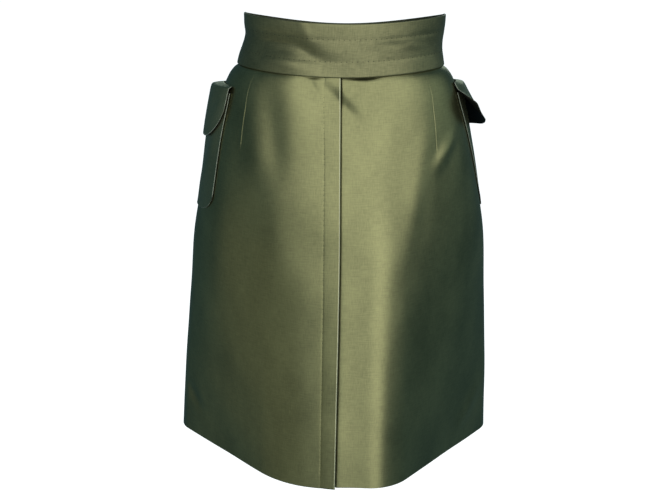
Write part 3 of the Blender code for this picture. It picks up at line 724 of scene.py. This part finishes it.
# Small creases and swellings. Their second places are up from its lower edge.
BAND_CREASES = (
    Fold(-0.340, 0.070, -0.240, 0.036, 0.0070, 0.0008),
    Fold(-0.600, 0.0165, -0.140, 0.0105, 0.0095, 0.0019),
    Fold(0.230, 0.0375, 0.500, 0.0335, 0.0040, -0.0005),
    Fold(0.400, 0.0350, 0.660, 0.0280, 0.0040, 0.0005),
    Fold(0.520, 0.0450, 0.900, 0.0400, 0.0040, -0.0004),
    Fold(1.350, 0.040, 1.750, 0.030, 0.004, -0.0009),
    Fold(-1.700, 0.034, -1.350, 0.038, 0.004, -0.0009),
    Fold(1.900, 0.020, 2.000, 0.018, 0.005, 0.0005),
)
CREASES_END = 0.6  # how abruptly the small creases start and end
# Where its lower edge stands off the skirt, or is drawn in: place, half its length, and how far.
BAND_STANDS_OFF = ((-0.275, 0.110, -0.0008), (0.165, 0.075, 0.0009), (1.620, 0.080, 0.0010))
BAND_STANDS_UP = 0.012
BAND_STITCH_ROWS = (0.0180, 0.0430)
BAND_STITCH_STEP = 0.0064
BAND_STITCH_OUT = 0.00005
BAND_PRICKED = (0.00026, 0.0018)  # depth and width of the groove along each row
BAND_SEAM = (0.0006, 0.002)  # the same of its side seams
BAND_QUARTER = 0.170
BAND_RIM = (0.0, 0.0002, 0.0006, 0.0011)  # its rows next to each edge
BAND_ROWS = 38
BAND_ROWS_FROM = 0.0016

# The band is cut across, so its floats run around it. Pressed over its stiffener, it is a little duller.
# Its colour is also painted darker than the skirt's, as painted shade for the weaker sheen of its floats.
BAND_SATIN = woven_cloth("duchesse_satin_band", "#9E9C74", "#7B7B5B", 0.41, 0.84, 0.00005)
# Its inner layer lies flat against the stiffener, so it is plainer, darker and much duller.
BAND_REVERSE = woven_cloth("duchesse_satin_band_inside", "#56583E", "#494B37", 0.5, 0.4, 0.00003)


def band_surface(around, up):
    """The smooth outside of the band."""
    part_x, part_y = walk(WAIST_OUTLINE, around)
    ring = read_table(BAND_RINGS, up)
    x = part_x * ring.half_width + ring.shift
    y = part_y * np.where(part_y < 0.0, ring.front_depth, ring.back_depth)
    return np.stack((x, y, up - waist_dip(around)), axis=-1)


def band_height(around, up):
    """Creases, swellings, pricked rows and the lower edge where it stands off."""
    place = signed(around)
    crease = read_table(MAIN_CREASE, place)
    width = np.where(up > crease.up, MAIN_CREASE_WIDTHS[0], MAIN_CREASE_WIDTHS[1])
    height = -MAIN_CREASE_DEPTH * fading(up - crease.up, width) * crease.strength
    small = fold_height(BAND_CREASES, place * BAND_QUARTER, up, lambda up: BAND_QUARTER, ends=CREASES_END)
    height = height + small
    for at, length, stands in BAND_STANDS_OFF:
        height = height + stands * fading(place - at, length) * fading(up, BAND_STANDS_UP)
    for row_up in BAND_STITCH_ROWS:
        height = height - BAND_PRICKED[0] * fading(up - row_up, BAND_PRICKED[1])
    return height


def band_half(name, start, end, count):
    """One half of the band, from side seam to side seam."""
    gap = SEWN_SHUT / 2.0 / BAND_QUARTER
    edges = [np.full(1, start + gap), np.full(1, end - gap)]
    around = columns_at(edges, [count], np.zeros(1))[0]
    inner_ups = np.linspace(BAND_HEIGHT - BAND_ROWS_FROM, BAND_ROWS_FROM, BAND_ROWS)
    rim = np.array(BAND_RIM)
    ups = np.concatenate((BAND_HEIGHT - rim, inner_ups, rim[::-1]))
    around, up = np.broadcast_arrays(around[None, :], ups[:, None])
    from_end = np.minimum(around - start, end - around) * BAND_QUARTER
    edge = np.minimum(from_end, np.minimum(up, BAND_HEIGHT - up))
    half = rolled(edge, BAND_CLOTH / 2.0)
    normal = outward(band_surface, around, up, -1.0)
    seam = BAND_SEAM[0] * fading(from_end, BAND_SEAM[1])
    out = band_height(around, up) - BAND_CLOTH / 2.0 - seam
    middle = band_surface(around, up) + normal * out[..., None]
    threads = np.stack((up, around * BAND_QUARTER), axis=-1)
    piece = cloth_piece(name + "_satin", middle, half, threads, BAND_SATIN, BAND_REVERSE)
    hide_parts(name)
    return piece


def band_stitches(name, start, end):
    """Both rows of stitches on one half of the band."""
    count = int((end - start) * BAND_QUARTER / BAND_STITCH_STEP)
    around = start + (np.arange(count) + 0.5) * (end - start) / count
    points = []
    nearby = []
    out = []
    for row_up in BAND_STITCH_ROWS:
        up = np.full(count, row_up)
        normal = outward(band_surface, around, up, -1.0)
        for places, found in ((around, points), (around + NORMAL_REACH[0], nearby)):
            stands = band_height(places, up) + BAND_STITCH_OUT
            found.append(band_surface(places, up) + normal * stands[:, None])
        out.append(normal)
    return stitches(name, np.vstack(points), np.vstack(nearby), np.vstack(out))


band_front = band_half("waistband_front", -1.0, 1.0, 200)
band_back = band_half("waistband_back", 1.0, 3.0, 150)
front_stitches = band_stitches("stitches_band_front", -1.0, 1.0)
back_stitches = band_stitches("stitches_band_back", 1.0, 3.0)

# ------------------------ patch pockets
# Two patch pockets of satin sewn over the side seams. Each is flat at its foot and stands open at its
# mouth like a bellows. Their edges are turned in and pressed, and the light they catch is painted on
# them as a pale highlight.
POCKET_MOUTH = 0.032
POCKET_FOOT = {"right": 0.1805, "left": 0.184}
POCKET_CLOTH = 0.0012
POCKET_SEAM_GAP = 0.0005
POCKET_WIDTH = 0.118
POCKET_CORNER = 0.022
POCKET_STANDS_OFF = {"right": 0.0115, "left": 0.0120}
POCKET_CLOSES_EARLY = 1.35
# Where a pocket's front edge, the side seam and its back edge lie at the waist and at its foot, and how
# much of its columns and of its width lies before the side seam.
PocketLines = namedtuple("PocketLines", "front side back columns_before width_before")
POCKET_LINES = {
    "left": PocketLines((0.862, 0.985), (1.0, 1.0), (1.440, 1.485), 0.300, 0.118),
    "right": PocketLines((-0.774, -0.752), (-1.0, -1.0), (-1.300, -1.300), 0.444, 0.443),
}
# Soft folds of the pockets, placed in parts of their width and depth.
POCKET_FOLDS = {
    "right": (
        Fold(0.20, 0.20, 0.44, 0.85, 0.009, -0.0016),
        Fold(0.08, 0.15, 0.20, 0.80, 0.008, 0.0008),
        Fold(0.70, 0.30, 0.60, 0.80, 0.012, -0.0010),
    ),
    "left": (
        Fold(0.30, 0.15, 0.20, 0.75, 0.010, -0.0012),
        Fold(0.70, 0.25, 0.60, 0.85, 0.012, -0.0012),
    ),
}
POCKET_ROWS = 56
POCKET_COLUMNS = 44
POCKET_LIP = (0.0002, 0.0008, 0.0007)  # of its pressed edge: height, how far from it, and width
POCKET_FOLDS_FROM_EDGE = 0.012
POCKET_THREADS_FROM = 0.7  # a place of its own in the cloth's clouds

# The pockets and their flaps are of the same satin, and look a little paler and greyer than the skirt.
POCKET_SATIN = woven_cloth("duchesse_satin_pocket", "#A8AA86", "#909472", 0.40, 0.92, 0.00005)
# Where the satin is turned and pressed it catches the light as thin pale grey lines. This paler, greyer
# colour paints that highlight on the edges of the pockets and flaps, and it is also duller.
EDGE_PAINTED_HIGHLIGHT = woven_cloth("duchesse_satin_edge_painted_highlight", "#A9B0A0", "#989F90", 0.50, 0.5, 0.00002)


def pocket_place(side, columns, below):
    """The place around of a pocket's columns, which run from 0 at its front edge to 1 at its back."""
    lines = POCKET_LINES[side]
    part = np.clip(below / POCKET_FOOT[side], 0.0, 1.0)
    front = lines.front[0] + (lines.front[1] - lines.front[0]) * part
    seam = lines.side[0]
    back_edge = lines.back[0] + (lines.back[1] - lines.back[0]) * part
    before = front + (seam - front) * columns / lines.columns_before
    after = seam + (back_edge - seam) * (columns - lines.columns_before) / (1.0 - lines.columns_before)
    return np.where(columns < lines.columns_before, before, after)


def pocket_width_part(side, columns):
    """Parts of a pocket's width from its front edge, at its columns."""
    lines = POCKET_LINES[side]
    return np.interp(columns, (0.0, lines.columns_before, 1.0), (0.0, lines.width_before, 1.0))


def bellows(side, from_front, below):
    """How far a pocket's outside stands off the skirt, level with the ground."""
    down = np.clip((below - POCKET_MOUTH) / (POCKET_FOOT[side] - POCKET_MOUTH), 0.0, 1.0)
    over_width = 1.0 - (2.0 * from_front - 1.0) ** 2
    return POCKET_STANDS_OFF[side] * (1.0 - down) ** POCKET_CLOSES_EARLY * over_width


def rounded_foot(from_front, radius):
    """How much shorter a piece is at each column, for its rounded lower corners."""
    nearest = np.minimum(from_front, 1.0 - from_front) * POCKET_WIDTH
    inside = np.clip(1.0 - nearest / radius, 0.0, 1.0)
    return radius * (1.0 - np.sqrt(1.0 - inside**2))


def on_skirt(around, below):
    """Points on the skirt, the level way out, and how steep it is there."""
    point = skirt_sheet(around, below, 0.0)
    normal = outward(skirt_surface, around, below, 1.0)
    level = normal * np.array((1.0, 1.0, 0.0))
    steep = np.linalg.norm(level, axis=-1, keepdims=True)
    return point, level / steep, steep[..., 0]


def spaced(count, size):
    """Parts from 0 to 1, with a few more close to each end."""
    ends = np.array(NEAR_A_LINE) / size
    within = np.linspace(ends[-1], 1.0 - ends[-1], count)[1:-1]
    return np.concatenate(([0.0], ends, within, 1.0 - ends[::-1], [1.0]))


def small_folds(folds, across, down, depth):
    """The height of the folds of a pocket or a flap that is so deep."""
    return fold_height(folds, across * POCKET_WIDTH, down, lambda down: POCKET_WIDTH, depth)


def pocket(side):
    """A patch pocket."""
    columns = spaced(POCKET_COLUMNS, POCKET_WIDTH)
    from_front = pocket_width_part(side, columns)
    foot = POCKET_FOOT[side] - rounded_foot(from_front, POCKET_CORNER)
    depth = POCKET_FOOT[side] - POCKET_MOUTH
    below = POCKET_MOUTH + (foot - POCKET_MOUTH) * spaced(POCKET_ROWS, depth)[:, None]
    across = np.broadcast_to(from_front, below.shape)
    around = pocket_place(side, columns + 0.0 * below, below)
    point, level, steep = on_skirt(around, below)
    stand = (POCKET_CLOTH + POCKET_SEAM_GAP) / steep + bellows(side, across, below)
    height = small_folds(POCKET_FOLDS[side], across, below - POCKET_MOUTH, depth)
    from_edge = np.minimum(np.minimum(across, 1.0 - across) * POCKET_WIDTH, foot - below)
    lip = POCKET_LIP[0] * fading(from_edge - POCKET_LIP[1], POCKET_LIP[2])
    room = np.clip(from_edge / POCKET_FOLDS_FROM_EDGE, 0.0, 1.0)
    outer = point + level * (stand + height * room + lip)[..., None]
    edge = np.maximum(np.minimum(from_edge, below - POCKET_MOUTH), 0.0)
    half = rolled(edge, POCKET_CLOTH / 2.0)
    if side == "right":
        outer, half, across, below = [sheet[:, ::-1] for sheet in (outer, half, across, below)]
    middle = outer - sheet_normals(outer) * POCKET_CLOTH / 2.0
    threads = np.stack((across * POCKET_WIDTH + POCKET_THREADS_FROM, below), axis=-1)
    name = "pocket_" + side
    # The pocket's edges and rims get the pale painted highlight.
    edge_highlight = (EDGE_PAINTED_HIGHLIGHT, (0, 2, 2, 2))
    piece = cloth_piece(name + "_satin", middle, half, threads, POCKET_SATIN, SATIN_REVERSE, edge_highlight)
    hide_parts(name)
    return piece


pocket_right = pocket("right")
pocket_left = pocket("left")

# ------------------------ pocket flaps
# A flap over each pocket's mouth, of satin faced with a thin near-black facing, with rounded lower
# corners, sewn on above the mouth. The right one hangs. The left one has sprung out, and its front edge
# curls out and shows the facing, whose near-black colour is painted shade for the dark under the flap.
FLAP_ROOT = {"right": 0.0235, "left": 0.0190}
FLAP_HANGS = 0.0635
FLAP_CORNER = 0.036
FLAP_CORNER_STRETCH = {"right": 1.25, "left": 1.05}
FLAP_CLOTH = 0.0010
FACING_CLOTH = 0.0010
FLAP_CLEARS = 0.0019
SHELF_DROPS = 0.0020
SPRUNG_SHELF_DROPS = 0.0010
SPRUNG_SHELF_MORE = 0.0018
SPRUNG_LEAN = math.radians(34.3)
SPRUNG_HANGS = 0.0642
# How much further its front edge leans out, each within a distance, and how its back part leans less.
SPRUNG_CURLS = ((math.radians(9.0), 0.0012), (math.radians(17.0), 0.0052))
SPRUNG_BACK_LEANS_LESS = math.radians(14.2)
SPRUNG_BACK_FROM = (0.005, 0.065)
CURL_DROPS = 0.0069  # how much further its front edge drops
CURL_DROPS_FADES = 0.0177  # within this distance
# From 0 to 1 out over the shelf, and from 1 to 2 down the part that hangs.
FLAP_STAGES = (0.0, 0.5, 0.8, 1.0, 1.06, 1.2, 1.4, 1.6, 1.8, 1.92, 1.98, 2.0)
FLAP_STEPS = 6  # rows from each stage to the next
FLAP_COLUMNS = 40
FLAP_THREADS_FROM = 1.7
LOWER_EDGE_NEARER = 0.6  # the lower edge rolls in as if it were this much nearer
FACING_INSET = 0.15  # of the last row, at its lower edge
FACING_DRAWN_IN = 0.0024  # at its side edges, fading within this distance:
FACING_DRAWN_WITHIN = 0.004
FLAP_FOLDS = {
    "right": (
        Fold(0.10, 0.10, 0.28, 0.60, 0.007, -0.0010),
        Fold(0.60, 0.20, 0.75, 0.90, 0.010, 0.0008),
    ),
    "left": (
        Fold(0.30, 0.20, 0.34, 0.90, 0.008, -0.0008),
        Fold(0.70, 0.20, 0.66, 0.90, 0.010, 0.0008),
    ),
}

# The flaps' facing: a plain weave of fine dull threads with a faint gleam. Its near-black colour is
# painted shade, for the deep shade under the sprung flap's curled edge.
FACING_PAINTED_SHADE = woven_cloth("flap_facing_painted_shade", "#080908", "#040504", 0.70, 0.0, 0.00003)
FACING_PAINTED_SHADE.node_tree.nodes["Principled BSDF"].inputs["Specular IOR Level"].default_value = 0.2


def refined(sheet, times):
    """The same sheet with more rows, on smooth curves through its own."""
    first = 2.0 * sheet[:1] - sheet[1:2]
    last = 2.0 * sheet[-1:] - sheet[-2:-1]
    padded_rows = np.concatenate((first, sheet, last))
    out = []
    for row in range(len(sheet) - 1):
        before, start, end, after = padded_rows[row : row + 4]
        for step in range(times):
            t = step / times
            rise = (end - before) * 0.5
            leave = (after - start) * 0.5
            two = 3.0 * (end - start) - 2.0 * rise - leave
            three = 2.0 * (start - end) + rise + leave
            out.append(start + rise * t + two * t * t + three * t**3)
    out.append(sheet[-1])
    return np.stack(out)


def flap_sheet(side, columns):
    """The outside of a flap: a narrow shelf out over the pocket's mouth, then the part that hangs."""
    from_front = pocket_width_part(side, columns)
    layers = FLAP_CLOTH + SEAM_GAP + FACING_CLOTH
    over_pocket = POCKET_CLOTH + layers + FLAP_CLEARS
    cut = rounded_foot(from_front, FLAP_CORNER) * FLAP_CORNER_STRETCH[side]
    kept = 1.0 - cut / FLAP_HANGS
    shelf = bellows(side, from_front, POCKET_MOUTH) + over_pocket
    at_lower_edge = bellows(side, from_front, FLAP_ROOT[side] + FLAP_HANGS) + over_pocket
    if side == "left":
        shelf = shelf + SPRUNG_SHELF_MORE
    from_edge = from_front * POCKET_WIDTH
    lean = SPRUNG_LEAN - SPRUNG_BACK_LEANS_LESS * np.interp(from_edge, SPRUNG_BACK_FROM, (0.0, 1.0))
    for curl_lean, fades in SPRUNG_CURLS:
        lean = lean + curl_lean * np.exp(-from_edge / fades)
    curl = SPRUNG_SHELF_DROPS + CURL_DROPS * np.exp(-from_edge / CURL_DROPS_FADES)
    drops = SHELF_DROPS if side == "right" else curl
    sheet_rows = []
    for stage in FLAP_STAGES:
        over = min(stage, 1.0)
        part = max(stage - 1.0, 0.0) * kept
        if side == "right":
            below = FLAP_ROOT[side] + SHELF_DROPS * over + FLAP_HANGS * part
            out = shelf + (at_lower_edge - shelf) * part
            down = np.zeros(len(from_front))
        else:
            below = np.full(len(from_front), FLAP_ROOT[side])
            out = shelf + SPRUNG_HANGS * np.sin(lean) * part
            down = drops * over + SPRUNG_HANGS * np.cos(lean) * part
        point, level, steep = on_skirt(pocket_place(side, columns, below), below)
        fall = np.arctan2(drops, shelf)
        body_slope = np.sqrt(1.0 - steep**2) / steep
        start = POCKET_SEAM_GAP / steep + layers * (np.sin(fall) + body_slope * np.cos(fall))
        out = start + (out - start) * over
        step = level * out[:, None]
        step[:, 2] -= down
        sheet_rows.append(point + step)
    sheet = np.stack(sheet_rows)
    soft = sheet.copy()
    soft[1:-1] = 0.25 * sheet[:-2] + 0.5 * sheet[1:-1] + 0.25 * sheet[2:]
    return soft


def flap(side):
    """A flap and the facing that lines it."""
    columns = spaced(FLAP_COLUMNS, POCKET_WIDTH)
    fine = refined(flap_sheet(side, columns), FLAP_STEPS)
    from_front = pocket_width_part(side, columns)
    stages = np.interp(np.arange(len(fine)) / FLAP_STEPS, np.arange(len(FLAP_STAGES)), FLAP_STAGES)
    if side == "right":
        fine = fine[:, ::-1]
        from_front = from_front[::-1]
    across, stage = np.broadcast_arrays(from_front[None, :], stages[:, None])
    hanging = np.clip(stage - 1.0, 0.0, 1.0) * FLAP_HANGS
    height = small_folds(FLAP_FOLDS[side], across, hanging, FLAP_HANGS)
    side_edge = np.minimum(across, 1.0 - across) * POCKET_WIDTH
    edge = np.minimum(side_edge, (2.0 - stage) * FLAP_HANGS * LOWER_EDGE_NEARER)
    threads = np.stack((across * POCKET_WIDTH + FLAP_THREADS_FROM, stage * FLAP_HANGS), axis=-1)
    name = "pocket_" + side + "_flap"
    middle = fine + sheet_normals(fine) * (height - FLAP_CLOTH / 2.0)[..., None]
    half = rolled(edge, FLAP_CLOTH / 2.0)
    # The flap's edges and rims get the pale painted highlight.
    edge_highlight = (EDGE_PAINTED_HIGHLIGHT, (0, 5, 2, 2))
    piece = cloth_piece(name + "_satin", middle, half, threads, POCKET_SATIN, SATIN_REVERSE, edge_highlight)
    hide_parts(name)
    toward = (fine.mean(axis=1, keepdims=True) - fine) / POCKET_WIDTH
    pull = np.clip(1.0 - side_edge / FACING_DRAWN_WITHIN, 0.0, 1.0) * FACING_DRAWN_IN
    drawn = fine + toward * pull[..., None]
    drawn[-1] += (fine[-2] - fine[-1]) * FACING_INSET
    under = height - FLAP_CLOTH - SEAM_GAP - FACING_CLOTH / 2.0
    middle = drawn + sheet_normals(drawn) * under[..., None]
    half = rolled(edge, FACING_CLOTH / 2.0)
    # The facing wears the near-black painted shade.
    facing = cloth_piece(name + "_facing_cloth", middle, half, threads, FACING_PAINTED_SHADE, FACING_PAINTED_SHADE)
    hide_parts(name + "_facing")
    return piece, facing


flap_right, facing_right = flap("right")
flap_left, facing_left = flap("left")

# ------------------------ stage
# A plain white floor far below the hanging hem. A wide high light and a narrower low one in front give the
# bright sheen, four weak ones soften the dark at the sides, and one stands behind. The satin mirrors the
# dim blue-green room all round as its dark sides, and to the eye the room is white like the floor.
FLOOR_Z = -1.02
FLOOR_SIZE = 80.0
DIM_ROOM = (0.038, 0.082, 0.106, 1.0)
WHITE = (1.0, 1.0, 1.0, 1.0)
bpy.ops.mesh.primitive_plane_add(size=FLOOR_SIZE, location=(0.0, 0.0, FLOOR_Z))
floor = bpy.context.object
floor.name = "floor"
floor.visible_diffuse = False
floor.visible_glossy = False
# Matt white paper that shines as brightly as the background, so that no horizon shows.
paper = bpy.data.materials.new("white_paper_lit")
paper.use_nodes = True
paper_shader = paper.node_tree.nodes["Principled BSDF"]
paper_shader.inputs["Base Color"].default_value = colour_of("#F4F4F2")
paper_shader.inputs["Emission Color"].default_value = WHITE
paper_shader.inputs["Emission Strength"].default_value = 1.0
floor.data.materials.append(paper)

world = bpy.data.worlds.new("dim_room")
bpy.context.scene.world = world
world.use_nodes = True
room = world.node_tree.nodes["Background"]
room.inputs["Strength"].default_value = 1.0
ray = add_node(world.node_tree, "ShaderNodeLightPath")
room_hues = {"data_type": "RGBA", 6: DIM_ROOM, 7: WHITE}
seen = add_node(world.node_tree, "ShaderNodeMix", room_hues, {0: ray.outputs["Is Camera Ray"]})
world.node_tree.links.new(seen.outputs[2], room.inputs["Color"])

SKIRT_MIDDLE = (0.0, 0.0, -0.22)
WARM_WHITE = (1.0, 0.985, 0.92)
COOL_WHITE = (0.86, 1.0, 0.93)
SAND_WHITE = (1.0, 0.87, 0.60)
# Each softbox: its name, azimuth, elevation, distance, size, watts, colour and roll. All face the skirt.
SOFTBOXES = (
    ("high_softbox", 14.5, 27.0, 2.0, (4.1, 2.0), 27.3, WARM_WHITE, 0.0),
    ("low_softbox", 15.3, -14.0, 1.5, (0.66, 1.00), 2.60, WARM_WHITE, -20.0),
    ("low_middle_fill", -11.0, -12.0, 1.9, (0.95, 1.3), 1.14, WARM_WHITE, 0.0),
    ("left_fill", -43.0, 23.0, 1.9, (1.06, 0.9), 0.62, WARM_WHITE, 0.0),
    ("low_left_fill", -58.0, -19.0, 1.9, (2.2, 1.1), 1.32, SAND_WHITE, 0.0),
    ("right_fill", 84.0, 20.0, 1.8, (1.30, 0.95), 1.25, COOL_WHITE, 0.0),
    ("back_fill", 172.0, 20.0, 2.3, (1.7, 1.0), 4.20, COOL_WHITE, 0.0),
)
for name, azimuth, elevation, distance, size, watts, colour, roll in SOFTBOXES:
    light = bpy.data.lights.new(name, "AREA")
    light.shape = "RECTANGLE"
    light.size, light.size_y = size
    light.energy = watts
    light.color = colour
    lamp = bpy.data.objects.new(name, light)
    lamp.visible_camera = False
    bpy.context.scene.collection.objects.link(lamp)
    lamp.matrix_world = (
        Matrix.Translation(SKIRT_MIDDLE)
        @ Matrix.Rotation(math.radians(azimuth), 4, "Z")
        @ Matrix.Rotation(math.radians(90.0 - elevation), 4, "X")
        @ Matrix.Rotation(math.radians(roll), 4, "Z")
        @ Matrix.Translation((0.0, 0.0, distance))
    )

CAMERA_AT = (-0.0050, -1.25, 0.162)
CAMERA_LOOKS_DOWN = math.radians(18.02)
CAMERA_ROLL = 0.0087
camera = bpy.data.objects.new("camera", bpy.data.cameras.new("camera"))
bpy.context.scene.collection.objects.link(camera)
camera.data.sensor_width = 36.0
camera.data.lens = 53.56
camera.matrix_world = (
    Matrix.Translation(CAMERA_AT)
    @ Matrix.Rotation(math.radians(90.0) - CAMERA_LOOKS_DOWN, 4, "X")
    @ Matrix.Rotation(CAMERA_ROLL, 4, "Z")
)
bpy.context.scene.camera = camera
bpy.context.scene.view_settings.view_transform = "Standard"
